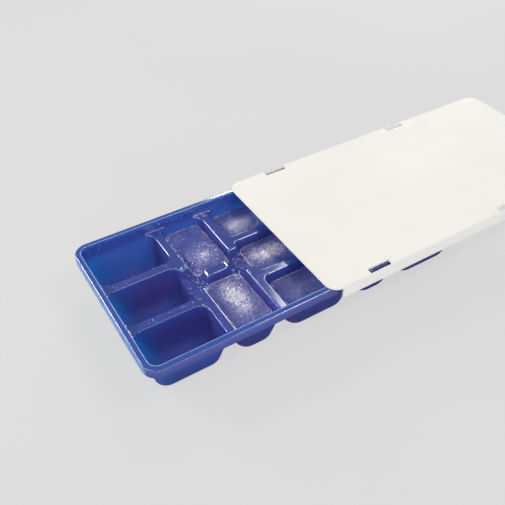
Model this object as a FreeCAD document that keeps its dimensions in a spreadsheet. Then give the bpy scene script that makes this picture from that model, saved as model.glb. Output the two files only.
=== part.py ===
"""Ice-cube freezer tray with a sliding cover, part filled with frozen blocks.

Frame: +Z is up and +X is the way the cover slides open.  The origin is the middle
of the tray, on the plane that its well bottoms stand on.  Sizes are millimetres.

The tray is one thin moulding.  Thirteen tapered wells hang from a framing rim in
five columns of three, two, three, two and three.  The cover is a flat plate with
turned-down sides; four hooks below its slots run under the tray's skirt.
"""
import FreeCAD, Part
import math
import os
import Sketcher

# Each dimension: its name on the sheet, its value and what it measures.
TRAY_SIZES = (
    ("tray_length", 246.0, "outer edge of the flange, along X"),
    ("tray_width", 120.0, "outer edge of the flange, along Y"),
    ("tray_height", 34.0, "well bottoms to the crest of the rim"),
    ("wall", 1.5, "thickness of walls, floors and divider tops"),
    ("rim_width", 3.3, "crest of the rim to the outer edge of the flange"),
    ("rim_crest", 0.6, "flat on top of the rim, inside the sloping flange"),
    ("rim_fall", 1.0, "how far the flange slopes down to its outer edge"),
    ("rim_round", 6.0, "plan radius of the crest of the rim at a corner"),
    ("skirt_depth", 6.6, "crest of the rim to the bottom of the skirt"),
    ("skirt_flare", 1.0, "how far the skirt leans out at its bottom"),
    ("skirt_wall", 1.2, "thickness of the skirt"),
    ("divider_drop", 7.2, "crest of the rim to the tops of the dividers"),
    ("divider_width", 6.0, "width of a divider across its top"),
    ("short_length", 31.4, "length along X of a well in a column of two"),
    ("wall_slope", 0.2126, "how far a well wall leans in, for each unit down"),
    ("well_round", 6.0, "radius of the upright and floor edges of a well"),
    ("notch_width", 18.0, "floor of an overflow notch, along Y"),
    ("notch_flare", 2.2, "how much wider each side of a notch is at its top"),
    ("notch_drop", 13.0, "crest of the rim to the floor of a notch"),
    ("notch_out", 5.5, "middle of a cross divider to the outer end of a notch"),
    ("notch_in", 8.7, "middle of a cross divider to the inner end of a notch"),
)
COVER_SIZES = (
    ("cover_length", 252.0, "along X"),
    ("cover_width", 128.4, "over the two side lips"),
    ("cover_plate", 1.5, "thickness of the flat plate"),
    ("cover_round", 9.0, "plan radius of the plate's corners"),
    ("cover_edge", 0.5, "rounding of the plate's top edge"),
    ("cover_gap", 0.15, "clearance between the plate and the crest of the rim"),
    ("cover_shift", 125.6, "how far the cover stands open at rest"),
    ("lip_depth", 8.4, "underside of the plate to the bottom of a lip"),
    ("lip_wall", 1.3, "thickness of the lips"),
    ("slot_length", 17.6, "along X"),
    ("slot_width", 4.4, "along Y"),
    ("slot_bite", 0.7, "how far a slot cuts into the top of its lip"),
    ("slot_first", 39.8, "open end of the cover to the middle of its first slots"),
    ("slot_second", 158.0, "open end of the cover to the middle of its next slots"),
    ("hook_length", 15.0, "along X"),
    ("hook_reach", 3.0, "how far a hook stands in from its lip"),
    ("hook_root", 1.3, "height of a hook where it leaves its lip"),
    ("hook_tip", 0.6, "height of a hook at its inner end"),
)
ICE_SIZES = (
    ("ice_drop", 13.2, "crest of the rim to the top of the ice"),
    ("ice_gap", 0.1, "clearance all round a block in its well"),
)

UP = FreeCAD.Vector(0, 0, 1)
WEDGE_UPRIGHT = FreeCAD.Rotation(FreeCAD.Vector(1, 0, 0), 90)
SKETCH_ORIGIN = (-1, 1)
START, END = 1, 2
TINY = 0.001
OVERLAP = 1.0
CORNER_SIGNS = ((1, 1), (-1, 1), (-1, -1), (1, -1))
COLUMNS = 5
# Columns of three wells, and the side of each on which a notch leads to its neighbour.
NOTCH_PLACES = ((1, 1), (3, -1), (3, 1), (5, -1))

# Expressions for the heights and half sizes that follow from the sheet.
DIVIDER_TOP = "(sizes.tray_height - sizes.divider_drop)"
CREST_HALF_X = "(sizes.tray_length / 2 - sizes.rim_width)"
CREST_HALF_Y = "(sizes.tray_width / 2 - sizes.rim_width)"
BASIN_HALF_X = f"({CREST_HALF_X} - sizes.divider_drop * sizes.wall_slope)"
BASIN_HALF_Y = f"({CREST_HALF_Y} - sizes.divider_drop * sizes.wall_slope)"
LONG_HALF_X = f"(({BASIN_HALF_X} - sizes.short_length - 2 * sizes.divider_width) / 3)"
LONG_HALF_Y = f"(({BASIN_HALF_Y} - sizes.divider_width) / 3)"
SHORT_HALF_X = "(sizes.short_length / 2)"
SHORT_HALF_Y = f"({BASIN_HALF_Y} / 2 - sizes.divider_width / 4)"
COLUMN_PITCH = f"({LONG_HALF_X} + sizes.divider_width + {SHORT_HALF_X})"
LONG_PITCH_Y = f"(2 * {LONG_HALF_Y} + sizes.divider_width)"
SHORT_SHIFT_Y = f"({SHORT_HALF_Y} + sizes.divider_width / 2)"
DIVIDER_FROM_LONG = f"({LONG_HALF_X} + sizes.divider_width / 2)"
COVER_UNDERSIDE = "(sizes.tray_height + sizes.cover_gap)"
LIP_LOW = f"({COVER_UNDERSIDE} - sizes.lip_depth)"
LIP_INSIDE = "(sizes.cover_width / 2 - sizes.lip_wall)"

os.makedirs("parts", exist_ok=True)
doc = FreeCAD.newDocument("ice_tray")
sheet = doc.addObject("Spreadsheet::Sheet", "sizes")
for row, (alias, value, meaning) in enumerate(TRAY_SIZES + COVER_SIZES + ICE_SIZES, 1):
    sheet.set(f"A{row}", str(value))
    sheet.setAlias(f"A{row}", alias)
    sheet.set(f"B{row}", meaning)
doc.recompute()


def bind(thing, **expressions):
    """Tie properties of a document object to expressions on the size sheet."""
    for name, expression in expressions.items():
        thing.setExpression(name, expression)


def place(thing, along_x, along_y, along_z):
    """Tie the position of an object to three expressions."""
    thing.setExpression("Placement.Base.x", along_x)
    thing.setExpression("Placement.Base.y", along_y)
    thing.setExpression("Placement.Base.z", along_z)


def value_of(expression):
    """Number that an expression on the size sheet comes to."""
    return float(sheet.evalExpression(expression))


def signed(sign, expression):
    return expression if sign > 0 else f"-({expression})"


# ---- sketches ----

def new_sketch(body, name, height, role="XY_Plane"):
    """Sketch parallel to one of the body's origin planes, at a height above it."""
    plane = next(item for item in body.Origin.OriginFeatures if item.Role == role)
    sketch = body.newObject("Sketcher::SketchObject", name)
    sketch.AttachmentSupport = [(plane, "")]
    sketch.MapMode = "FlatFace"
    sketch.setExpression("AttachmentOffset.Base.z", height)
    doc.recompute()
    return sketch


def constrain(sketch, kind, *arguments):
    """Add a constraint and return the name that expressions know it by."""
    index = sketch.addConstraint(Sketcher.Constraint(kind, *arguments))
    return f"Constraints[{index}]"


def pin_point(sketch, line, end, across, along):
    """Hold one end of a line at the place that two expressions give."""
    point = sketch.getPoint(line, end)
    name = constrain(sketch, "DistanceX", *SKETCH_ORIGIN, line, end, point.x)
    sketch.setExpression(name, across)
    name = constrain(sketch, "DistanceY", *SKETCH_ORIGIN, line, end, point.y)
    sketch.setExpression(name, along)


def draw_polygon(sketch, corners):
    """Closed outline through corners that are pairs of expressions."""
    points = [FreeCAD.Vector(value_of(across), value_of(along), 0) for across, along in corners]
    first = sketch.GeometryCount
    count = len(points)
    for index, point in enumerate(points):
        sketch.addGeometry(Part.LineSegment(point, points[(index + 1) % count]), False)
    for index, (across, along) in enumerate(corners):
        following = first + (index + 1) % count
        constrain(sketch, "Coincident", first + index, END, following, START)
        pin_point(sketch, first + index, START, across, along)


def draw_rectangle(sketch, low_x, high_x, low_y, high_y):
    draw_polygon(sketch, ((low_x, low_y), (high_x, low_y), (high_x, high_y), (low_x, high_y)))


def draw_rounded_rectangle(sketch, half_x, half_y, radius):
    """Rectangle about the sketch's origin with round corners."""
    corner = value_of(radius)
    near_x = f"({half_x} - ({radius}))"
    near_y = f"({half_y} - ({radius}))"
    first = sketch.GeometryCount
    for quarter, (sign_x, sign_y) in enumerate(CORNER_SIGNS):
        middle = FreeCAD.Vector(sign_x * value_of(near_x), sign_y * value_of(near_y), 0)
        turn = quarter * math.pi / 2
        arc = Part.ArcOfCircle(Part.Circle(middle, UP, corner), turn, turn + math.pi / 2)
        sketch.addGeometry(arc, False)
    for quarter in range(4):
        leaving = sketch.getPoint(first + quarter, END)
        arriving = sketch.getPoint(first + (quarter + 1) % 4, START)
        sketch.addGeometry(Part.LineSegment(leaving, arriving), False)
    for quarter, (sign_x, sign_y) in enumerate(CORNER_SIGNS):
        before = first + 4 + (quarter - 1) % 4
        after = first + 4 + quarter
        constrain(sketch, "Coincident", before, END, first + quarter, START)
        constrain(sketch, "Coincident", first + quarter, END, after, START)
        sketch.setExpression(constrain(sketch, "Radius", first + quarter, corner), radius)
        side = (signed(sign_x, half_x), signed(sign_y, near_y))
        end = (signed(sign_x, near_x), signed(sign_y, half_y))
        if sign_x != sign_y:
            side, end = end, side
        pin_point(sketch, before, END, *side)
        pin_point(sketch, after, START, *end)


# ---- features ----

def add_feature(body, kind, name, sketch, length):
    """Pad or Pocket of a sketch, as deep as the expression says."""
    feature = body.newObject(f"PartDesign::{kind}", name)
    feature.Profile = sketch
    bind(feature, Length=length)
    return feature


def round_edges(body, name, feature, wanted, radius):
    """Fillet every edge of a feature that the test picks out."""
    doc.recompute()
    picked = [f"Edge{number}" for number, edge in enumerate(feature.Shape.Edges, 1) if wanted(edge)]
    fillet = body.newObject("PartDesign::Fillet", name)
    fillet.Base = (feature, picked)
    bind(fillet, Radius=radius)


def tapered_block(name, half_x, half_y, low, high, radius, floor_is_round=True):
    """Upright block whose four sides lean out as they rise, with round edges.

    The half sizes hold at the height of the divider tops, so two blocks that share
    a side there share the whole of that leaning side.
    """
    body = doc.addObject("PartDesign::Body", name)
    wedge = body.newObject("PartDesign::AdditiveWedge", name + "_wedge")
    shrink = f"sizes.wall_slope * ({DIVIDER_TOP} - ({low}))"
    grow = f"sizes.wall_slope * (({high}) - {DIVIDER_TOP})"
    bind(
        wedge,
        Ymin="0", Ymax=f"({high}) - ({low})",
        Xmin=f"{shrink} - ({half_x})", Xmax=f"{half_x} - {shrink}",
        Zmin=f"{shrink} - ({half_y})", Zmax=f"{half_y} - {shrink}",
        X2min=f"-({half_x} + {grow})", X2max=f"{half_x} + {grow}",
        Z2min=f"-({half_y} + {grow})", Z2max=f"{half_y} + {grow}",
    )

    def is_side_or_floor(edge):
        heights = [vertex.Point.y for vertex in edge.Vertexes]
        rises = max(heights) - min(heights) > TINY
        return rises or (floor_is_round and max(heights) < TINY)

    round_edges(body, name + "_round", wedge, is_side_or_floor, radius)
    body.Placement = FreeCAD.Placement(FreeCAD.Vector(), WEDGE_UPRIGHT)
    body.setExpression("Placement.Base.z", low)
    return body


def join(name, pieces):
    fusion = doc.addObject("Part::MultiFuse", name)
    fusion.Shapes = pieces
    return fusion


# ---- tray ----

def well_places():
    """Column, row, middle and half sizes of each well, level with the dividers."""
    places = []
    for column in range(COLUMNS):
        middle_x = f"({column - COLUMNS // 2} * {COLUMN_PITCH})"
        if column % 2:
            half_sizes = (SHORT_HALF_X, SHORT_HALF_Y)
            rows = {"front": f"-{SHORT_SHIFT_Y}", "back": SHORT_SHIFT_Y}
        else:
            half_sizes = (LONG_HALF_X, LONG_HALF_Y)
            rows = {"front": f"-{LONG_PITCH_Y}", "middle": "0", "back": LONG_PITCH_Y}
        for row, middle_y in rows.items():
            places.append((column + 1, row, middle_x, middle_y, *half_sizes))
    return places


def make_rim():
    """Flange and skirt: one section carried all round the crest of the rim."""
    body = doc.addObject("PartDesign::Body", "rim")
    path = new_sketch(body, "rim_path", "sizes.tray_height")
    draw_rounded_rectangle(path, CREST_HALF_X, CREST_HALF_Y, "sizes.rim_round")
    section = new_sketch(body, "rim_section", "0", "YZ_Plane")
    edge_y = "sizes.tray_width / 2"
    flare_y = f"{edge_y} + sizes.skirt_flare"
    skirt_z = "sizes.tray_height - sizes.skirt_depth"
    edge_z = "sizes.tray_height - sizes.rim_fall"
    under_z = f"{edge_z} - sizes.wall"
    draw_polygon(section, (
        (f"{CREST_HALF_Y} - sizes.wall", "sizes.tray_height"),
        (f"{CREST_HALF_Y} + sizes.rim_crest", "sizes.tray_height"),
        (edge_y, edge_z),
        (flare_y, skirt_z),
        (f"{flare_y} - sizes.skirt_wall", skirt_z),
        (f"{edge_y} - sizes.skirt_wall", under_z),
        (f"{CREST_HALF_Y} - sizes.wall", under_z),
    ))
    pipe = body.newObject("PartDesign::AdditivePipe", "rim_pipe")
    pipe.Profile = section
    pipe.Spine = path
    return body


def notch_block(name, direction, half_width, floor, inner_end):
    """Block over the middle of a cross divider; its sides spread towards its top."""
    block = doc.addObject("Part::Wedge", name)
    outer_end = "sizes.notch_out"
    low_x, high_x = (f"-{outer_end}", inner_end) if direction > 0 else (f"-({inner_end})", outer_end)
    half_top = f"{half_width} + sizes.notch_flare"
    bind(
        block,
        Ymin="0", Ymax=f"{DIVIDER_TOP} + {OVERLAP} - ({floor})",
        Xmin=low_x, Xmax=high_x, X2min=low_x, X2max=high_x,
        Zmin=f"-({half_width})", Zmax=half_width,
        Z2min=f"-({half_top})", Z2max=half_top,
    )
    block.Placement = FreeCAD.Placement(FreeCAD.Vector(), WEDGE_UPRIGHT)
    return block


def make_notches():
    """Skins and hollows of the four notches that let water run between columns."""
    skins = []
    hollows = []
    notch_floor = "sizes.tray_height - sizes.notch_drop"
    half_width = "sizes.notch_width / 2"
    for column, side in NOTCH_PLACES:
        middle_x = f"{column - 1 - COLUMNS // 2} * {COLUMN_PITCH} + {side} * {DIVIDER_FROM_LONG}"
        name = f"notch_{column}_{'right' if side > 0 else 'left'}"
        skin = notch_block(
            f"{name}_skin", side, f"{half_width} + sizes.wall",
            f"{notch_floor} - sizes.wall", "sizes.notch_in + sizes.wall")
        hollow = notch_block(name, side, half_width, notch_floor, "sizes.notch_in")
        place(skin, middle_x, "0", f"{notch_floor} - sizes.wall")
        place(hollow, middle_x, "0", notch_floor)
        skins.append(skin)
        hollows.append(hollow)
    return skins, hollows


def make_tray():
    """Outer skins of rim, dividers, wells and notches, with their insides cut out."""
    skins, hollows = make_notches()
    above_rim = f"sizes.tray_height + {OVERLAP}"
    outer_round = "sizes.well_round + sizes.wall"
    skins.append(make_rim())
    skins.append(tapered_block(
        "basin_skin", f"({BASIN_HALF_X} + sizes.wall)", f"({BASIN_HALF_Y} + sizes.wall)",
        f"{DIVIDER_TOP} - sizes.wall", f"sizes.tray_height - {OVERLAP}", outer_round, False))
    hollows.append(tapered_block(
        "basin", BASIN_HALF_X, BASIN_HALF_Y, DIVIDER_TOP, above_rim, "sizes.well_round", False))
    for column, row, middle_x, middle_y, half_x, half_y in well_places():
        skin = tapered_block(
            f"well_skin_{column}_{row}", f"({half_x} + sizes.wall)", f"({half_y} + sizes.wall)",
            "0", f"{DIVIDER_TOP} - sizes.wall / 2", outer_round)
        hollow = tapered_block(
            f"well_{column}_{row}", half_x, half_y, "sizes.wall", above_rim, "sizes.well_round")
        place(skin, middle_x, middle_y, "0")
        place(hollow, middle_x, middle_y, "sizes.wall")
        skins.append(skin)
        hollows.append(hollow)
    tray = doc.addObject("Part::Cut", "tray")
    tray.Base = join("tray_skins", skins)
    tray.Tool = join("tray_hollows", hollows)
    tray.Refine = True
    return tray


# ---- cover ----

def make_cover():
    """Plate, lips, slots and hooks, drawn closed and then slid to where it rests."""
    body = doc.addObject("PartDesign::Body", "cover")
    half_x = "(sizes.cover_length / 2)"
    half_y = "(sizes.cover_width / 2)"
    outline = new_sketch(body, "plate_outline", COVER_UNDERSIDE)
    draw_rounded_rectangle(outline, half_x, half_y, "sizes.cover_round")
    plate = add_feature(body, "Pad", "plate", outline, "sizes.cover_plate")
    top = value_of(f"{COVER_UNDERSIDE} + sizes.cover_plate")

    def is_top(edge):
        return all(abs(vertex.Point.z - top) < TINY for vertex in edge.Vertexes)

    round_edges(body, "plate_edge", plate, is_top, "sizes.cover_edge")
    ring = new_sketch(body, "lip_ring", LIP_LOW)
    draw_rounded_rectangle(ring, half_x, half_y, "sizes.cover_round")
    draw_rounded_rectangle(
        ring, f"({half_x} - sizes.lip_wall)", LIP_INSIDE, "sizes.cover_round - sizes.lip_wall")
    add_feature(body, "Pad", "lips", ring, "sizes.lip_depth")
    open_end = new_sketch(body, "open_end", LIP_LOW)
    draw_rectangle(
        open_end, f"-({half_x} + {OVERLAP})", f"sizes.cover_round - {half_x}",
        f"-({half_y} + {OVERLAP})", f"{half_y} + {OVERLAP}")
    cut = add_feature(body, "Pocket", "open_end_cut", open_end, "sizes.lip_depth")
    cut.Reversed = True
    slot_out = f"{LIP_INSIDE} + sizes.slot_bite"
    for name, distance in (("first", "sizes.slot_first"), ("second", "sizes.slot_second")):
        middle_x = f"{distance} - {half_x}"
        slots = new_sketch(body, f"{name}_slots", f"{COVER_UNDERSIDE} + sizes.cover_plate")
        for sign in (-1, 1):
            draw_rectangle(
                slots, f"{middle_x} - sizes.slot_length / 2", f"{middle_x} + sizes.slot_length / 2",
                signed(sign, slot_out), signed(sign, f"{slot_out} - sizes.slot_width"))
        add_feature(body, "Pocket", f"{name}_slot_cut", slots, "sizes.cover_plate")
        hooks = new_sketch(body, f"{name}_hooks", f"{middle_x} - sizes.hook_length / 2", "YZ_Plane")
        for sign in (-1, 1):
            draw_hook(hooks, sign)
        add_feature(body, "Pad", f"{name}_hook_pad", hooks, "sizes.hook_length")
    place(body, "sizes.cover_shift", "0", "0")
    return body


def draw_hook(sketch, sign):
    """Section of a hook: flat on top, thinner towards its inner end."""
    root_y = f"{LIP_INSIDE} + sizes.lip_wall / 2"
    tip_y = f"{LIP_INSIDE} - sizes.hook_reach"
    top_z = f"{LIP_LOW} + sizes.hook_root"
    draw_polygon(sketch, (
        (signed(sign, root_y), LIP_LOW),
        (signed(sign, root_y), top_z),
        (signed(sign, tip_y), top_z),
        (signed(sign, tip_y), f"{top_z} - sizes.hook_tip"),
        (signed(sign, LIP_INSIDE), LIP_LOW),
    ))


# ---- ice ----

def make_ice():
    """A block in every well except the three of the first column."""
    blocks = []
    low = "sizes.wall + sizes.ice_gap"
    for column, row, middle_x, middle_y, half_x, half_y in well_places():
        if column > 1:
            block = tapered_block(
                f"ice_{column}_{row}", f"({half_x} - sizes.ice_gap)", f"({half_y} - sizes.ice_gap)",
                low, "sizes.tray_height - sizes.ice_drop", "sizes.well_round - sizes.ice_gap")
            place(block, middle_x, middle_y, low)
            blocks.append(block)
    return blocks


sub_parts = [make_tray(), make_cover(), *make_ice()]
doc.recompute()
for item in doc.Objects:
    if "Invalid" in item.State or "Error" in item.State:
        raise RuntimeError(f"{item.Name} did not compute: {item.State}")
for item in sub_parts:
    if item.Shape.isNull() or not item.Shape.isValid():
        raise RuntimeError(f"{item.Label} has no valid shape")
for item in sub_parts:
    item.Shape.exportStep(f"parts/{item.Label}.step")
    box = item.Shape.optimalBoundingBox()
    print(f"{item.Label}: {len(item.Shape.Solids)} solid, {item.Shape.Volume:.0f} mm3, "
          f"x {box.XMin:.2f} to {box.XMax:.2f}, y {box.YMin:.2f} to {box.YMax:.2f}, "
          f"z {box.ZMin:.2f} to {box.ZMax:.2f}")
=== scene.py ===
"""Looks of an ice-cube freezer tray: blue tray, off-white sliding cover and frozen blocks.

Lengths are millimetres, and MM turns them into metres where a mesh or a material is made.
The lights and the reach of the floor are in metres.
The tray and each block are closed skins: a top surface and an underside, both given
as heights over the same plan, joined round their edge by a few loops of faces.
"""
import math
import bpy
import numpy as np
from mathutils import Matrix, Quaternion, Vector


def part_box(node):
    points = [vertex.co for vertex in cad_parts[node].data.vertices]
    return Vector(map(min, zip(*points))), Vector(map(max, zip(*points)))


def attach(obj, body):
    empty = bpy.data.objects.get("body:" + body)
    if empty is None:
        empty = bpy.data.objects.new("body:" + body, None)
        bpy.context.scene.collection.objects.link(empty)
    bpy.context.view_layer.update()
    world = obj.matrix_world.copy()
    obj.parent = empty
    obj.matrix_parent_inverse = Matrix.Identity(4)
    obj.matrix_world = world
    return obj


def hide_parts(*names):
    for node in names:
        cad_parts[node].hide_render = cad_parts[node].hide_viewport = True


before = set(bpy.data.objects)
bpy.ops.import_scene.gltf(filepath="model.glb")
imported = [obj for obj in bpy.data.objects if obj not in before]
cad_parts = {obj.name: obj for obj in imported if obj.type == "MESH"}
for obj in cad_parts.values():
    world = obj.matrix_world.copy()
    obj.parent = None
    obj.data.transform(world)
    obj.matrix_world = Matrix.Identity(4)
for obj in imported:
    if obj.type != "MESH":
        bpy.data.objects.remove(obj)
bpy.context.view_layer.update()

MM = 0.001
tray_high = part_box("tray")[1]
block_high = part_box("ice_3_middle")[1]
cover_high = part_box("cover")[1]

# ---- sizes of the tray, measured from its middle ----
RIM_TOP = tray_high.z / MM
SKIRT_HALF = (tray_high.x / MM, tray_high.y / MM)
SKIRT_FLARE = 1.0
SKIRT_DEPTH = 6.6
SKIRT_WALL = 1.2
RIM_WIDTH = 3.3
RIM_FALL = 1.0
RIM_ROUND = 6.0
WALL = 1.5
SLOPE = 0.2126
WALL_ACROSS = WALL * math.hypot(1, SLOPE)
DIVIDER_TOP = RIM_TOP - 7.2
DIVIDER_WIDTH = 6.0
SHORT_HALF_X = 15.7
CORNER = 6.0
EDGE_ROUND = 1.3
BASIN_BLEND = 1.8
CREST_HALF = tuple(half - SKIRT_FLARE - RIM_WIDTH for half in SKIRT_HALF)
BASIN_HALF = tuple(half - (RIM_TOP - DIVIDER_TOP) * SLOPE for half in CREST_HALF)
LONG_HALF_X = (BASIN_HALF[0] - 2 * SHORT_HALF_X - 2 * DIVIDER_WIDTH) / 3
LONG_HALF_Y = (BASIN_HALF[1] - DIVIDER_WIDTH) / 3
SHORT_HALF_Y = BASIN_HALF[1] / 2 - DIVIDER_WIDTH / 4
COLUMN_PITCH = LONG_HALF_X + DIVIDER_WIDTH + SHORT_HALF_X
ROW_PITCH = 2 * LONG_HALF_Y + DIVIDER_WIDTH
SHORT_SHIFT = SHORT_HALF_Y + DIVIDER_WIDTH / 2
NOTCH_FLOOR = RIM_TOP - 13.0
NOTCH_HALF = 9.0
NOTCH_SPREAD = 0.32
NOTCH_IN = 8.7
NOTCH_FLOOR_BLEND = 3.0
NOTCH_EDGE_BLEND = 1.2
UNDER_BLEND = 1.5
TOP_BELOW_CREST = 0.25
ICE_GAP = 0.1
ICE_LEVEL = block_high.z / MM
PLATE_TOP = cover_high.z / MM
FAR = 500.0


def well_places():
    """Each well by column and row: its middle, half sizes and which sides are dividers."""
    places = {}
    for column in range(1, 6):
        middle_x = (column - 3) * COLUMN_PITCH
        divider_left = column > 1
        divider_right = column < 5
        if column % 2:
            rows = {"front": -ROW_PITCH, "middle": 0.0, "back": ROW_PITCH}
            half = (LONG_HALF_X, LONG_HALF_Y)
        else:
            rows = {"front": -SHORT_SHIFT, "back": SHORT_SHIFT}
            half = (SHORT_HALF_X, SHORT_HALF_Y)
        for row, middle_y in rows.items():
            dividers = (divider_left, divider_right, row != "front", row != "back")
            places[(column, row)] = ((middle_x, middle_y), half, dividers)
    return places


WELLS = well_places()


# ---- surfaces as heights over the plan ----

def blend_min(first, second, reach):
    """Lower of two surfaces, rounded where they cross."""
    near = np.maximum(reach - np.abs(first - second), 0) / reach
    return np.minimum(first, second) - near * near * reach / 4


def blend_max(first, second, reach):
    """Higher of two surfaces, rounded where they cross."""
    return -blend_min(-first, -second, reach)


def round_inset(to_side_x, to_side_y, radius):
    """Distance in from the sides of a rectangle whose level lines keep one corner radius."""
    spread = to_side_x - to_side_y
    inside = np.clip(spread, -radius, radius)
    corner = (to_side_x + to_side_y) / 2 - radius + np.sqrt(2 * radius**2 - inside**2) / 2
    return np.where(np.abs(spread) < radius, corner, np.minimum(to_side_x, to_side_y))


def well_inset(x, y, well, grow=0.0, only_dividers=False):
    """Distance in from a well's mouth, counted from all its sides or its dividers only."""
    (middle_x, middle_y), (half_x, half_y), dividers = well
    sides = (
        x - middle_x + half_x + grow,
        middle_x + half_x + grow - x,
        y - middle_y + half_y + grow,
        middle_y + half_y + grow - y,
    )
    if only_dividers:
        sides = [side if divider else side + FAR for side, divider in zip(sides, dividers)]
    return round_inset(np.minimum(*sides[:2]), np.minimum(*sides[2:]), CORNER + grow)


def cup_height(inset, floor, radius):
    """Height of a leaning wall that turns into a flat floor through a round."""
    across = math.cos(math.atan(SLOPE))
    centre_z = floor + radius
    centre = (DIVIDER_TOP - centre_z) * SLOPE + radius / across
    wall_end = centre - radius * across
    wall = DIVIDER_TOP - inset / SLOPE
    turn = centre_z - np.sqrt(np.maximum(radius**2 - np.clip(inset - centre, -radius, 0) ** 2, 0))
    return np.where(inset < wall_end, wall, np.where(inset < centre, turn, floor))


def edge_drop(inset):
    """How far a well's rounded mouth lies below the sharp edge it replaces."""
    across = math.cos(math.atan(SLOPE))
    centre = -EDGE_ROUND * (1 / across - SLOPE)
    end = centre + EDGE_ROUND * across
    from_centre = np.clip(inset - centre, 0, EDGE_ROUND)
    rounded = DIVIDER_TOP - EDGE_ROUND + np.sqrt(EDGE_ROUND**2 - from_centre**2)
    sharp = np.minimum(DIVIDER_TOP, DIVIDER_TOP - inset / SLOPE)
    return np.where((inset > centre) & (inset < end), sharp - rounded, 0.0)


def notch_height(x, y, grow=0.0):
    """Floor and sides of the notches that cross the four cross dividers."""
    height = np.full_like(x, FAR)
    floor = NOTCH_FLOOR - grow
    for long_column in (-2, 0, 2):
        for side in (-1, 1):
            middle = long_column * COLUMN_PITCH + side * (LONG_HALF_X + DIVIDER_WIDTH / 2)
            if abs(middle) > BASIN_HALF[0]:
                continue
            inward = side * (x - middle)
            past_side = (np.abs(y) - NOTCH_HALF - grow) / NOTCH_SPREAD
            past_end = (inward - NOTCH_IN - grow) / NOTCH_SPREAD
            past_start = (-inward - NOTCH_IN) / NOTCH_SPREAD
            walls = np.maximum(np.maximum(past_side, past_end), past_start) + floor
            notch = blend_max(walls, np.full_like(x, floor), NOTCH_FLOOR_BLEND)
            height = np.minimum(height, notch)
    return height


def tray_top(x, y):
    """Inside of the tray: basin wall, divider tops, wells and notches."""
    basin_inset = round_inset(BASIN_HALF[0] - np.abs(x), BASIN_HALF[1] - np.abs(y), CORNER)
    deck = np.full_like(x, DIVIDER_TOP)
    height = blend_max(deck, DIVIDER_TOP - basin_inset / SLOPE, BASIN_BLEND)
    drop = np.zeros_like(x)
    for well in WELLS.values():
        height = np.minimum(height, cup_height(well_inset(x, y, well), WALL, CORNER))
        drop += edge_drop(well_inset(x, y, well, only_dividers=True))
    return blend_min(height - drop, notch_height(x, y), NOTCH_EDGE_BLEND)


def tray_under(x, y):
    """Underside of the tray: the same shapes, one wall thickness further out."""
    grow = WALL_ACROSS
    basin_inset = round_inset(
        BASIN_HALF[0] + grow - np.abs(x), BASIN_HALF[1] + grow - np.abs(y), CORNER + grow)
    height = np.maximum(DIVIDER_TOP - WALL, DIVIDER_TOP - basin_inset / SLOPE)
    for well in WELLS.values():
        cup = cup_height(well_inset(x, y, well, grow), 0.0, CORNER + WALL)
        height = blend_min(height, cup, UNDER_BLEND)
    return blend_min(height, notch_height(x, y, WALL), UNDER_BLEND)


# ---- skins ----

def crowded_lines(half, stretches, coarse):
    """Line positions from -half to half, closer together over stretches (low, high, spacing)."""
    steps = 12000
    reach = 20
    along = np.linspace(-half, half, steps)
    per_mm = np.full(steps, 1 / coarse)
    for low, high, spacing in stretches:
        inside = (along > low) & (along < high)
        per_mm[inside] = np.maximum(per_mm[inside], 1 / spacing)
    soften = np.hanning(2 * reach + 1)
    per_mm = np.convolve(np.pad(per_mm, reach, mode="edge"), soften / soften.sum(), mode="valid")
    reached = np.concatenate(([0], np.cumsum((per_mm[1:] + per_mm[:-1]) / 2 * np.diff(along))))
    count = int(round(reached[-1])) // 2 * 2 + 1
    return np.interp(np.linspace(0, reached[-1], count), reached, along)


def plan_grid(lines_x, lines_y, half, radius, grow=0.0):
    """Grid of plan points whose outer lines follow a rectangle with round corners."""
    x, y = np.meshgrid(lines_x, lines_y)
    beyond_x = np.maximum(np.abs(x) - (half[0] - radius), 0) / radius
    beyond_y = np.maximum(np.abs(y) - (half[1] - radius), 0) / radius
    scale = radius + grow
    plain_x = np.minimum(np.abs(x), half[0] - radius)
    plain_y = np.minimum(np.abs(y), half[1] - radius)
    bent_x = plain_x + scale * beyond_x * np.sqrt(1 - beyond_y**2 / 2)
    bent_y = plain_y + scale * beyond_y * np.sqrt(1 - beyond_x**2 / 2)
    return np.sign(x) * bent_x, np.sign(y) * bent_y


def ring_of(grid):
    """Outermost values of a grid, once round, anticlockwise seen from above."""
    return np.concatenate((grid[0, :-1], grid[:-1, -1], grid[-1, :0:-1], grid[:0:-1, 0]))


def outward(ring_x, ring_y, half, radius):
    """Unit directions that point out of a round-cornered rectangle."""
    away_x = np.sign(ring_x) * np.maximum(np.abs(ring_x) - (half[0] - radius), 0)
    away_y = np.sign(ring_y) * np.maximum(np.abs(ring_y) - (half[1] - radius), 0)
    size = np.hypot(away_x, away_y)
    return away_x / size, away_y / size


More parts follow.
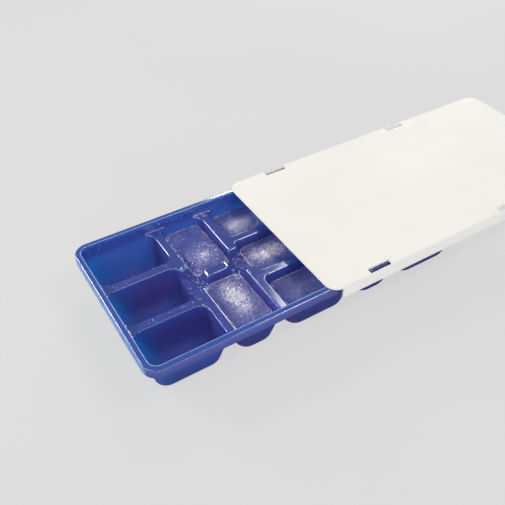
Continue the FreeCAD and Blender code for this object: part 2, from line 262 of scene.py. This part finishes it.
def skin_mesh(name, lines_x, lines_y, half, radius, top, under, edge, grow, middle=(0.0, 0.0)):
    """Closed skin with heights top and under, joined by loops of (outward, height).

    The plan of the underside is wider than that of the top by grow.
    """
    upper_x, upper_y = plan_grid(lines_x, lines_y, half, radius)
    lower_x, lower_y = plan_grid(lines_x, lines_y, half, radius, grow)
    upper_z = top(upper_x + middle[0], upper_y + middle[1])
    lower_z = under(lower_x + middle[0], lower_y + middle[1])
    ring_x = ring_of(upper_x)
    ring_y = ring_of(upper_y)
    out_x, out_y = outward(ring_x, ring_y, half, radius)
    rows, columns = upper_x.shape
    grid_size = rows * columns
    ring_size = ring_x.size
    layers = [np.stack([upper_x.ravel(), upper_y.ravel(), upper_z.ravel()], axis=1)]
    for distance, height in edge:
        loop = (ring_x + out_x * distance, ring_y + out_y * distance, np.full(ring_size, height))
        layers.append(np.stack(loop, axis=1))
    layers.append(np.stack([lower_x.ravel(), lower_y.ravel(), lower_z.ravel()], axis=1))
    points = np.concatenate(layers)
    points[:, 0] += middle[0]
    points[:, 1] += middle[1]
    numbers = np.arange(grid_size).reshape(rows, columns)
    cells = (numbers[:-1, :-1], numbers[:-1, 1:], numbers[1:, 1:], numbers[1:, :-1])
    upper_faces = np.stack([cell.ravel() for cell in cells], axis=1)
    under_start = grid_size + len(edge) * ring_size
    faces = [upper_faces, upper_faces[:, ::-1] + under_start]
    rings = [ring_of(numbers)]
    for loop in range(len(edge)):
        rings.append(grid_size + loop * ring_size + np.arange(ring_size))
    rings.append(ring_of(numbers) + under_start)
    for inner, outer in zip(rings[:-1], rings[1:]):
        after_inner = np.roll(inner, -1)
        after_outer = np.roll(outer, -1)
        faces.append(np.stack([inner, outer, after_outer, after_inner], axis=1))
    return mesh_piece(name, points, np.concatenate(faces).tolist())


def mesh_piece(name, points, faces):
    """Object from points in millimetres and faces, shaded smooth."""
    mesh = bpy.data.meshes.new(name)
    mesh.from_pydata((points * MM).tolist(), [], faces)
    mesh.validate()
    mesh.shade_smooth()
    piece = bpy.data.objects.new(name, mesh)
    bpy.context.scene.collection.objects.link(piece)
    return piece


def edge_stretches(axis):
    """Stretches along X or Y where wells and notches have their edges and walls.

    Each is (low, high, spacing): the lines lie closer together there.
    """
    mouth_and_wall = (2.4, 7.0, 0.6)
    mouth_round = (1.2, 0.5, 0.22)
    stretches = []
    for middle, half, _ in WELLS.values():
        for side in (-1, 1):
            edge = middle[axis] + side * half[axis]
            for out, inward, spacing in (mouth_and_wall, mouth_round):
                stretches.append((*sorted((edge + side * out, edge - side * inward)), spacing))
    if axis == 1:
        for side in (-1, 1):
            stretches.append((*sorted((side * (NOTCH_HALF - 1), side * (NOTCH_HALF + 4))), 0.4))
    return stretches


def make_tray():
    """The whole moulding: inside, rim, skirt and underside in one skin."""
    coarse = 2.2
    under_rim = RIM_TOP - RIM_FALL - WALL
    join_out = (RIM_TOP - under_rim) * -SLOPE + WALL_ACROSS
    skirt_low = RIM_TOP - SKIRT_DEPTH
    tip = RIM_WIDTH + SKIRT_FLARE
    # Crest, flange, outside of the skirt, its foot and its inside, up to the underside.
    edge = (
        (0.1, RIM_TOP - 0.08), (0.3, RIM_TOP), (0.5, RIM_TOP - 0.03), (0.65, RIM_TOP - 0.13),
        (RIM_WIDTH - 0.6, RIM_TOP - 0.22), (RIM_WIDTH - 0.15, RIM_TOP - 0.3),
        (RIM_WIDTH + 0.25, RIM_TOP - 0.42), (RIM_WIDTH + 0.5, RIM_TOP - 0.85),
        (tip - 0.07, skirt_low + 0.45), (tip, skirt_low + 0.2), (tip - 0.08, skirt_low + 0.04),
        (tip - 0.3, skirt_low), (tip - SKIRT_WALL + 0.3, skirt_low),
        (tip - SKIRT_WALL + 0.06, skirt_low + 0.06), (tip - SKIRT_WALL, skirt_low + 0.3),
        (RIM_WIDTH - SKIRT_WALL + 0.1, under_rim - 0.7),
        (RIM_WIDTH - SKIRT_WALL - 0.1, under_rim - 0.2),
        (RIM_WIDTH - SKIRT_WALL - 0.5, under_rim),
    )
    lines_x = crowded_lines(CREST_HALF[0], edge_stretches(0), coarse)
    lines_y = crowded_lines(CREST_HALF[1], edge_stretches(1), coarse)

    def top(x, y):
        return np.minimum(tray_top(x, y), RIM_TOP - TOP_BELOW_CREST)

    return skin_mesh("tray_shell", lines_x, lines_y, CREST_HALF, RIM_ROUND, top,
                     tray_under, edge, join_out)


# ---- ice ----

# Each block by column and row: the height of its swell, then the place, half size and
# strength of its frosted core.
ICE_LOOKS = {
    (2, "front"): (0.8, (0.5, 4.0), (8.0, 17.0), 0.88),
    (2, "back"): (0.5, (-1.5, -12.5), (7.5, 7.5), 0.6),
    (3, "front"): (0.5, (-2.0, -3.0), (16.0, 9.0), 0.3),
    (3, "middle"): (0.9, (-5.0, 0.5), (16.0, 7.5), 0.85),
    (3, "back"): (0.7, (-8.0, -3.0), (15.0, 9.0), 0.72),
    (4, "front"): (0.7, (0.0, -2.0), (9.0, 15.0), 0.8),
    (4, "back"): (0.6, (0.0, 2.0), (8.0, 14.0), 0.7),
    (5, "front"): (0.6, (1.0, 0.0), (14.0, 8.0), 0.6),
    (5, "middle"): (0.9, (0.0, 1.0), (15.0, 8.0), 0.8),
    (5, "back"): (0.7, (-1.0, -1.0), (14.0, 8.0), 0.5),
}
# Blocks that froze into a rounded hump: its place on the block, its half widths and height.
ICE_HUMPS = {
    (2, "back"): ((1.0, -9.5), (13.4, 14.6), 5.0),
    (4, "back"): ((-0.5, 6.0), (12.0, 15.0), 2.6),
    (3, "back"): ((-7.0, 0.0), (14.0, 12.5), 1.3),
}


def ripple(x, y, seed):
    """Slow uneven swell between -1 and 1, different for each seed."""
    waves = ((0.21, 0.13, 0.4), (-0.11, 0.27, 1.9), (0.33, -0.24, 3.1), (0.07, 0.41, 5.2))
    shift = seed * 1.7
    total = sum(np.sin(per_x * x + per_y * y + start + shift) for per_x, per_y, start in waves)
    return total / len(waves)


def hump_away(across, along):
    """1 on a hump's outline, less inside it and more outside."""
    squareness = 2.6
    return (np.abs(across) ** squareness + np.abs(along) ** squareness) ** (1 / squareness)


def ice_top(x, y, column, row):
    """Height of the top of one block."""
    (middle_x, middle_y), half, _ = WELLS[(column, row)]
    swell = ICE_LOOKS[(column, row)][0]
    edge_lean = 2.0
    ripple_height = 0.22
    across = (x - middle_x) / (half[0] - edge_lean)
    along = (y - middle_y) / (half[1] - edge_lean)
    fall = np.clip(1 - across**4, 0, 1) * np.clip(1 - along**4, 0, 1)
    height = ICE_LEVEL + fall * (swell + ripple_height * ripple(x, y, column * 3 + len(row)))
    if (column, row) in ICE_HUMPS:
        (place_x, place_y), (half_x, half_y), rise = ICE_HUMPS[(column, row)]
        foot = 0.4
        roundness = 2.4
        foot_blend = 0.5
        away = hump_away((x - middle_x - place_x) / half_x, (y - middle_y - place_y) / half_y)
        hump = ICE_LEVEL - foot + (rise + foot) * np.sqrt(np.clip(1 - away**roundness, 0, 1))
        height = blend_max(height, np.where(away < 1, hump, ICE_LEVEL - foot), foot_blend)
    return height


def frost_and_highlight_amounts(points, half, radius, column, row):
    """How frosted a block is at points measured from its well's middle.

    half and radius are those of its top. The frost lies in the core and along the edges;
    the bright ring round part of a hump's outline is a painted highlight, drawn as frost.
    """
    edge_frost = 0.5
    edge_reach = 1.3
    core_falloff = 1.2
    ring_highlight = 0.75
    ring_place = 0.97
    ring_width = 0.035
    deep_frost = 0.4
    deep = 2.0
    _, core, core_size, strength = ICE_LOOKS[(column, row)]
    x, y, z = points.T
    from_core = ((x - core[0]) / core_size[0]) ** 2 + ((y - core[1]) / core_size[1]) ** 2
    from_edge = round_inset(half[0] - np.abs(x), half[1] - np.abs(y), radius)
    edge_share = edge_frost * np.exp(-(np.maximum(from_edge, 0) / edge_reach) ** 2)
    amount = np.maximum(strength * np.exp(-(from_core**core_falloff)), edge_share)
    if (column, row) in ICE_HUMPS:
        (place_x, place_y), (half_x, half_y), _ = ICE_HUMPS[(column, row)]
        across = (x - place_x) / half_x
        along = (y - place_y) / half_y
        # Painted highlight: a ring along the right and front of the hump's outline, drawn as
        # frost.
        ring_highlight_share = np.exp(-((hump_away(across, along) - ring_place) / ring_width) ** 2)
        ring_highlight_share *= np.clip(0.5 + 0.5 * (across - along), 0, 1)
        amount = np.maximum(amount, ring_highlight * ring_highlight_share)
    amount[z < ICE_LEVEL - deep] *= deep_frost
    return amount


def make_ice_block(column, row):
    """Block frozen into one well, with a swollen top and a frosted core."""
    well = WELLS[(column, row)]
    middle, half, _ = well
    side_drop = 1.0
    edge_width = 0.7
    fine_band = 6.0
    fine = 0.5
    coarse = 0.7
    lean = (DIVIDER_TOP - ICE_LEVEL + side_drop) * SLOPE + ICE_GAP
    top_half = [size - lean - edge_width for size in half]
    radius = CORNER - ICE_GAP - edge_width

    def top(x, y):
        return ice_top(x, y, column, row)

    def under(x, y):
        inset = well_inset(x, y, well, -ICE_GAP)
        return cup_height(inset, WALL + ICE_GAP, CORNER - ICE_GAP)

    edge = ((0.3, ICE_LEVEL - 0.05), (0.55, ICE_LEVEL - 0.25), (0.67, ICE_LEVEL - 0.55))
    lines = []
    for size in top_half:
        bands = ((-size, fine_band - size, fine), (size - fine_band, size, fine))
        lines.append(crowded_lines(size, bands, coarse))
    piece = skin_mesh(f"frozen_{column}_{row}", *lines, top_half, radius, top, under, edge,
                      edge_width, middle)
    points = np.empty(len(piece.data.vertices) * 3)
    piece.data.vertices.foreach_get("co", points)
    points = points.reshape(-1, 3) / MM - (*middle, 0.0)
    frost = piece.data.attributes.new("frost", "FLOAT", "POINT")
    frost.data.foreach_set("value", frost_and_highlight_amounts(points, top_half, radius, column, row))
    return piece


# ---- frozen droplets ----

# Patches on which droplets froze: two corners in plan, how many, smallest and largest radius.
DROPLET_PATCHES = (
    ((-62.9, 8.5), (-62.2, 48.0), 34, 0.14, 0.3),
    ((-70.5, 8.0), (-63.0, 13.5), 10, 0.2, 0.5),
    ((-71.0, -9.5), (-56.0, 9.5), 60, 0.12, 0.34),
    ((-37.5, -9.5), (-21.0, 9.5), 60, 0.12, 0.34),
    ((-38.0, -11.0), (-31.5, -1.0), 22, 0.2, 0.5),
    ((-61.5, 22.0), (-56.5, 50.0), 30, 0.14, 0.36),
    ((-70.0, -54.0), (-63.0, -10.0), 26, 0.12, 0.28),
    ((-37.0, -54.0), (-29.5, -10.0), 34, 0.12, 0.32),
    ((-37.0, 11.0), (-29.5, 54.0), 22, 0.12, 0.28),
    ((-24.0, -8.0), (-14.0, 8.0), 40, 0.12, 0.3),
    ((-60.0, -54.0), (-34.0, -6.0), 60, 0.1, 0.24),
    ((-60.0, 3.0), (-34.0, 54.0), 50, 0.1, 0.24),
    ((-28.0, -22.5), (0.0, -16.5), 20, 0.12, 0.26),
    ((-118.0, -22.5), (-70.0, -16.5), 18, 0.12, 0.26),
    ((-118.0, 16.5), (-70.0, 22.5), 18, 0.12, 0.26),
    ((-119.0, -55.0), (-117.5, 55.0), 16, 0.14, 0.34),
    ((-118.0, 55.3), (-10.0, 56.2), 26, 0.12, 0.28),
)


def surface_height(x, y):
    """Top of the tray or of the ice, whichever is higher."""
    ice_lean = 1.6
    height = tray_top(x, y)
    for column, row in ICE_LOOKS:
        middle, half, _ = WELLS[(column, row)]
        to_side_x = half[0] - ice_lean - np.abs(x - middle[0])
        to_side_y = half[1] - ice_lean - np.abs(y - middle[1])
        inside = round_inset(to_side_x, to_side_y, CORNER) > 0
        height = np.where(inside, np.maximum(height, ice_top(x, y, column, row)), height)
    return height


def make_droplets():
    """Droplets that froze on the dividers, in the notches and on the ice.

    Each is a flattened ball of a few rings, with its lowest part sunk into what it lies on.
    """
    chance = np.random.default_rng(7)
    growth = 1.3
    flatness = 0.7
    around = 8
    levels = (-0.5, 0.0, 0.45, 0.8)
    points = []
    faces = []
    for low, high, count, smallest, largest in DROPLET_PATCHES:
        x = chance.uniform(low[0], high[0], count)
        y = chance.uniform(low[1], high[1], count)
        radii = growth * (smallest + (largest - smallest) * chance.uniform(0, 1, count) ** 2)
        for place_x, place_y, place_z, radius in zip(x, y, surface_height(x, y), radii):
            start = len(points)
            stretch = chance.uniform(0.75, 1.3)
            for level in levels:
                ring = radius * math.sqrt(1 - level * level)
                for step in range(around):
                    turn = 2 * math.pi * step / around
                    points.append((place_x + ring * stretch * math.cos(turn),
                                   place_y + ring / stretch * math.sin(turn),
                                   place_z + level * radius * flatness))
            points.append((place_x, place_y, place_z + radius * flatness))
            for level in range(len(levels) - 1):
                for step in range(around):
                    after = (step + 1) % around
                    lower = start + level * around
                    faces.append((lower + step, lower + after,
                                  lower + around + after, lower + around + step))
            last = start + (len(levels) - 1) * around
            for step in range(around):
                faces.append((last + step, last + (step + 1) % around, len(points) - 1))
            faces.append(tuple(start + step for step in reversed(range(around))))
    return mesh_piece("frozen_droplets", np.array(points), faces)


# ---- materials ----

# The colour mix node has several sockets of one name, so they are picked by number.
MIX_COLOUR_A = 6
MIX_COLOUR_B = 7
MIX_COLOUR_RESULT = 2
# Height under which the wells' walls are matt and above which the tray is wet.
MATT_LEVEL = DIVIDER_TOP - 4.0


def new_material(name):
    """Empty node material with its output node."""
    material = bpy.data.materials.new(name)
    material.use_nodes = True
    material.node_tree.nodes.clear()
    output = material.node_tree.nodes.new("ShaderNodeOutputMaterial")
    return material, material.node_tree, output


def set_socket(tree, socket, value):
    """Link a socket to another node's output, or set its number or its colour."""
    if isinstance(value, bpy.types.NodeSocket):
        tree.links.new(value, socket)
    elif isinstance(value, tuple):
        socket.default_value = (*value, 1.0)
    else:
        socket.default_value = value


def add_node(tree, kind, **inputs):
    """Node with its inputs set to numbers and colours or linked to other nodes' outputs."""
    node = tree.nodes.new(kind)
    for name, value in inputs.items():
        set_socket(tree, node.inputs[name.replace("_", " ")], value)
    return node


def coordinates(tree, kind):
    """X, Y and Z of a point's place ("Object", in metres) or of the way it faces ("Normal")."""
    place = tree.nodes.new("ShaderNodeTexCoord")
    return add_node(tree, "ShaderNodeSeparateXYZ", Vector=place.outputs[kind]).outputs


def noise(tree, scale, detail=3.0, roughness=0.5):
    """Uneven value round 0.5 that is fixed to the piece; a larger scale is finer."""
    place = tree.nodes.new("ShaderNodeTexCoord")
    return add_node(tree, "ShaderNodeTexNoise", Vector=place.outputs["Object"], Scale=scale,
                    Detail=detail, Roughness=roughness).outputs["Fac"]


def between(tree, factor, low, high, new_low=0.0, new_high=1.0):
    """Map one range of a value onto another and hold it there."""
    node = tree.nodes.new("ShaderNodeMapRange")
    tree.links.new(factor, node.inputs["Value"])
    node.inputs["From Min"].default_value = low
    node.inputs["From Max"].default_value = high
    node.inputs["To Min"].default_value = new_low
    node.inputs["To Max"].default_value = new_high
    return node.outputs["Result"]


def calculate(tree, operation, first, second):
    """Sum, product or the like of two values."""
    node = tree.nodes.new("ShaderNodeMath")
    node.operation = operation
    set_socket(tree, node.inputs[0], first)
    set_socket(tree, node.inputs[1], second)
    return node.outputs["Value"]


def mix_colours(tree, factor, first, second):
    """Colour between two others: the factor is the share of the second."""
    node = tree.nodes.new("ShaderNodeMix")
    node.data_type = "RGBA"
    tree.links.new(factor, node.inputs["Factor"])
    set_socket(tree, node.inputs[MIX_COLOUR_A], first)
    set_socket(tree, node.inputs[MIX_COLOUR_B], second)
    return node.outputs[MIX_COLOUR_RESULT]


def mix_shaders(tree, factor, first, second):
    """Shader between two others: the factor is the share of the second."""
    node = add_node(tree, "ShaderNodeMixShader", Fac=factor)
    tree.links.new(first, node.inputs[1])
    tree.links.new(second, node.inputs[2])
    return node.outputs["Shader"]


def bump(tree, height, distance, strength):
    """Normal that makes a surface look uneven, with heights up to a distance in metres."""
    node = add_node(tree, "ShaderNodeBump", Height=height, Strength=strength, Distance=distance)
    return node.outputs["Normal"]


def moulded_normal(tree, grain, grain_share, swell):
    """Normal of a moulded surface: a slow swell with a share of fine grain on it."""
    uneven = calculate(tree, "ADD", calculate(tree, "MULTIPLY", grain, grain_share), swell)
    return bump(tree, uneven, 0.2 * MM, 0.5)


def tray_tint(tree, axes):
    """Cobalt with painted shade low down, purple deep in the wells and a painted glow where light
    enters the end.
    """
    cloud = between(tree, noise(tree, 18.0, 4.0), 0.35, 0.65)
    cobalt = mix_colours(tree, cloud, (0.06, 0.05, 0.27), (0.075, 0.075, 0.35))
    lean = calculate(tree, "MULTIPLY", axes["Z"], SLOPE)
    from_middle = calculate(tree, "SUBTRACT", calculate(tree, "ABSOLUTE", axes["Y"], 0.0), lean)
    inner_face = BASIN_HALF[1] - SLOPE * DIVIDER_TOP
    inside = between(
        tree, from_middle, (inner_face + 0.6) * MM, (inner_face + 0.9) * MM, 1.0, 0.0)
    # Painted shade: the colour turns darker low down in the wells.
    painted_shade_depth = between(tree, axes["Z"], 6 * MM, 26 * MM, 0.55, 0.0)
    low_inside = calculate(tree, "MULTIPLY", painted_shade_depth, inside)
    painted_shade_colour = mix_colours(tree, painted_shade_depth, cobalt, (0.02, 0.025, 0.16))
    purple = mix_colours(tree, low_inside, painted_shade_colour, (0.21, 0.035, 0.25))
    # Painted glow: a bright cyan tint near the -X end walls stands in for light let through them.
    end_x = -SKIRT_HALF[0]
    near_end = between(tree, axes["X"], (end_x + 5) * MM, (end_x + 22) * MM, 1.0, 0.0)
    below_tops = between(tree, axes["Z"], (MATT_LEVEL + 3) * MM, MATT_LEVEL * MM, 0.0, 0.85)
    lit_end = calculate(tree, "MULTIPLY", near_end, below_tops)
    return mix_colours(tree, lit_end, purple, (0.002, 0.15, 0.32))


def painted_highlight_film(tree, axes, grain):
    """Shader of a pale film and its share on the end skirt and the rim's crest: a painted
    highlight, drawn as frost.
    """
    shade = between(tree, grain, 0.3, 0.7)
    tint = mix_colours(tree, shade, (0.14, 0.42, 0.72), (0.34, 0.60, 0.84))
    film = add_node(tree, "ShaderNodeBsdfPrincipled", Base_Color=tint, Roughness=0.4)
    end_x = -SKIRT_HALF[0]
    # Painted highlight: the pale film lies only on the -X end skirt, which faces the lamps there,
    # and on the crest line.
    on_end = between(tree, axes["X"], (end_x + 1.1) * MM, (end_x + 0.7) * MM)
    on_crest = between(tree, axes["Z"], (RIM_TOP - 0.14) * MM, (RIM_TOP - 0.04) * MM)
    blotches = noise(tree, 90.0, 5.0, 0.7)
    end_share = between(tree, blotches, 0.3, 0.62, 0.12, 0.45)
    crest_share = between(tree, blotches, 0.3, 0.62, 0.45, 0.85)
    share = calculate(tree, "MAXIMUM", calculate(tree, "MULTIPLY", on_end, end_share),
                      calculate(tree, "MULTIPLY", on_crest, crest_share))
    return film.outputs["BSDF"], share


def tray_plastic():
    """Moulded cobalt polypropylene, a little see-through, wet on top and matt in the wells."""
    material, tree, output = new_material("tray_plastic")
    axes = coordinates(tree, "Object")
    matt_inside = between(tree, axes["Z"], MATT_LEVEL * MM, (MATT_LEVEL + 2.5) * MM, 0.8, 0.15)
    patches = between(tree, noise(tree, 140.0), 0.3, 0.7, -0.03, 0.03)
    tint = tray_tint(tree, axes)
    grain = noise(tree, 900.0, 2.0)
    upward = between(tree, coordinates(tree, "Normal")["Z"], 0.1, 0.35)
    high_up = between(tree, axes["Z"], (MATT_LEVEL + 1.5) * MM, (MATT_LEVEL + 3) * MM)
    body = add_node(
        tree, "ShaderNodeBsdfPrincipled", Base_Color=tint, IOR=1.5,
        Roughness=calculate(tree, "ADD", matt_inside, patches),
        Normal=moulded_normal(tree, grain, 0.12, noise(tree, 55.0, 2.0)),
        Coat_Weight=calculate(tree, "MULTIPLY", upward, high_up),
        Coat_IOR=2.4, Coat_Roughness=0.1)
    through = add_node(tree, "ShaderNodeBsdfTranslucent", Color=(0.03, 0.46, 0.92))
    plastic = mix_shaders(tree, 0.47, body.outputs["BSDF"], through.outputs["BSDF"])
    # Painted highlight on the end skirt and the crest, drawn as a frost film.
    film, film_share = painted_highlight_film(tree, axes, grain)
    tree.links.new(mix_shaders(tree, film_share, plastic, film), output.inputs["Surface"])
    return material


def cover_plastic():
    """Satin off-white polyethylene with a faint mould grain; its lips are painted a little paler,
    as painted light.
    """
    material, tree, output = new_material("cover_plastic")
    cloud = between(tree, noise(tree, 14.0, 5.0, 0.6), 0.35, 0.65)
    cream = mix_colours(tree, cloud, (0.80, 0.782, 0.722), (0.84, 0.822, 0.765))
    height = coordinates(tree, "Object")["Z"]
    # Painted light: the lips below the plate's top get a paler colour than the top.
    on_top = between(tree, height, (PLATE_TOP - 0.6) * MM, (PLATE_TOP - 0.1) * MM)
    body = add_node(
        tree, "ShaderNodeBsdfPrincipled",
        Base_Color=mix_colours(tree, on_top, (0.91, 0.90, 0.88), cream),
        Roughness=between(tree, noise(tree, 90.0), 0.3, 0.7, 0.6, 0.75),
        Normal=moulded_normal(tree, noise(tree, 1400.0, 2.0), 0.25, noise(tree, 40.0, 3.0)),
        Specular_IOR_Level=0.3)
    through = add_node(tree, "ShaderNodeBsdfTranslucent", Color=(0.92, 0.91, 0.87))
    plastic = mix_shaders(tree, 0.08, body.outputs["BSDF"], through.outputs["BSDF"])
    tree.links.new(plastic, output.inputs["Surface"])
    return material


def ice_material():
    """Clear ice that turns to grainy white frost towards the middle of each block."""
    material, tree, output = new_material("ice")
    amount = tree.nodes.new("ShaderNodeAttribute")
    amount.attribute_name = "frost"
    grain = noise(tree, 1500.0, 2.0, 0.6)
    coarse = noise(tree, 170.0, 4.0, 0.6)
    spread = calculate(tree, "ADD", calculate(tree, "MULTIPLY", grain, 3.0),
                       calculate(tree, "MULTIPLY", coarse, 0.9))
    total = calculate(tree, "ADD", amount.outputs["Fac"], spread)
    frost = between(tree, total, 2.2, 2.95, 0.2, 0.95)
    clear = add_node(
        tree, "ShaderNodeBsdfPrincipled", Base_Color=(0.74, 0.68, 0.95), IOR=1.31,
        Roughness=between(tree, coarse, 0.35, 0.65, 0.04, 0.18),
        Normal=bump(tree, calculate(tree, "ADD", grain, coarse), 0.5 * MM, 0.4),
        Transmission_Weight=1.0)
    whiteness = between(tree, frost, 0.2, 0.9)
    white = add_node(
        tree, "ShaderNodeBsdfPrincipled",
        Base_Color=mix_colours(tree, whiteness, (0.30, 0.31, 0.86), (0.90, 0.85, 0.86)),
        Roughness=between(tree, grain, 0.3, 0.7, 0.35, 0.6),
        Normal=bump(tree, grain, 0.7 * MM, 0.7))
    mixed = mix_shaders(tree, frost, clear.outputs["BSDF"], white.outputs["BSDF"])
    tree.links.new(mixed, output.inputs["Surface"])
    return material


def droplet_material():
    """Pale blue frosted droplets."""
    material, tree, output = new_material("frozen_droplets")
    grain = noise(tree, 800.0, 2.0)
    shade = between(tree, grain, 0.3, 0.7)
    body = add_node(
        tree, "ShaderNodeBsdfPrincipled",
        Base_Color=mix_colours(tree, shade, (0.36, 0.64, 0.90), (0.62, 0.86, 1.0)),
        Roughness=between(tree, grain, 0.3, 0.7, 0.1, 0.3))
    tree.links.new(body.outputs["BSDF"], output.inputs["Surface"])
    return material


def floor_material():
    """Plain pale floor that glows a little, so that it stays even."""
    material, tree, output = new_material("pale_floor")
    cloud = between(tree, noise(tree, 6.0), 0.3, 0.7)
    body = add_node(
        tree, "ShaderNodeBsdfPrincipled",
        Base_Color=mix_colours(tree, cloud, (0.10, 0.10, 0.10), (0.11, 0.11, 0.11)),
        Roughness=0.9, Specular_IOR_Level=0.0, Emission_Color=(1.0, 1.0, 1.0),
        Emission_Strength=0.605)
    tree.links.new(body.outputs["BSDF"], output.inputs["Surface"])
    return material


def finish_with(piece, material):
    """Give every material slot of a piece one material."""
    if not piece.material_slots:
        piece.data.materials.append(material)
    for material_slot in piece.material_slots:
        material_slot.material = material


# ---- stage ----

# Area lights: place, what they point at, size and power.
LIGHTS = {
    "back_left_box": ((-0.52, 0.55, 0.42), (-0.03, 0, 0.03), (0.24, 0.26), 3.4),
    "back_right_box": ((0.72, 0.58, 0.26), (0, 0, 0.03), (0.24, 0.16), 3.1),
    "top_box": ((0.40, -0.38, 0.86), (0, 0, 0), (0.26, 0.26), 3.5),
    "high_back_box": ((0.45, 0.48, 0.74), (0, 0, 0.03), (0.17, 0.17), 0.55),
    "back_box": ((0.38, 0.84, 0.36), (0, 0, 0.03), (0.13, 0.13), 0.9),
    "left_box": ((-0.60, 0.12, 0.14), (-0.12, 0, 0.02), (0.4, 0.1), 0.9),
    "left_fill": ((-0.72, -0.22, 0.62), (0, 0, 0.02), (0.5, 0.4), 1.9),
    "front_box": ((-0.1, -0.85, 0.3), (0, 0, 0), (0.9, 0.4), 2.6),
}


def add_area_light(name, place, target, size, power):
    """White rectangular light that the camera doesn't see."""
    light = bpy.data.lights.new(name, "AREA")
    light.shape = "RECTANGLE"
    light.size, light.size_y = size
    light.energy = power
    lamp = bpy.data.objects.new(name, light)
    lamp.location = place
    lamp.rotation_euler = (Vector(target) - Vector(place)).to_track_quat("-Z", "Y").to_euler()
    lamp.visible_camera = False
    bpy.context.scene.collection.objects.link(lamp)


def add_floor():
    """Wide pale floor, just below the cups so that the two don't share a plane."""
    reach = 6.0
    level = -0.1 * MM
    corners = [(-reach, -reach, level), (reach, -reach, level), (reach, reach, level),
               (-reach, reach, level)]
    mesh = bpy.data.meshes.new("floor")
    mesh.from_pydata(corners, [], [(0, 1, 2, 3)])
    floor = bpy.data.objects.new("floor", mesh)
    bpy.context.scene.collection.objects.link(floor)
    finish_with(floor, floor_material())


def set_stage():
    """Floor, faint even light from all around, and the area lights."""
    add_floor()
    world = bpy.data.worlds.new("soft_light")
    world.use_nodes = True
    background = world.node_tree.nodes["Background"]
    background.inputs["Color"].default_value = (1.0, 1.0, 1.0, 1.0)
    background.inputs["Strength"].default_value = 0.25
    bpy.context.scene.world = world
    for name, settings in LIGHTS.items():
        add_area_light(name, *settings)


def set_camera():
    """Camera where the tray's outline and dividers say that it stood."""
    eye = Vector((-186.87, -267.84, 322.30)) * MM
    aim = Vector((-22.66, -6.0, RIM_TOP)) * MM
    roll = math.radians(0.31)
    camera_data = bpy.data.cameras.new("camera")
    camera_data.lens = 45.615
    camera_data.sensor_width = 36.0
    camera = bpy.data.objects.new("camera", camera_data)
    camera.location = eye
    facing = (aim - eye).to_track_quat("-Z", "Y") @ Quaternion((0, 0, 1), roll)
    camera.rotation_euler = facing.to_euler()
    bpy.context.scene.collection.objects.link(camera)
    bpy.context.scene.camera = camera


set_camera()
set_stage()
bpy.context.scene.view_settings.view_transform = "Standard"

tray = make_tray()
finish_with(tray, tray_plastic())
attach(tray, "tray_body")
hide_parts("tray")

ice = ice_material()
for column, row in ICE_LOOKS:
    block = make_ice_block(column, row)
    finish_with(block, ice)
    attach(block, "tray_body")
    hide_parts(f"ice_{column}_{row}")

droplets = make_droplets()
finish_with(droplets, droplet_material())
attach(droplets, "tray_body")

finish_with(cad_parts["cover"], cover_plastic())
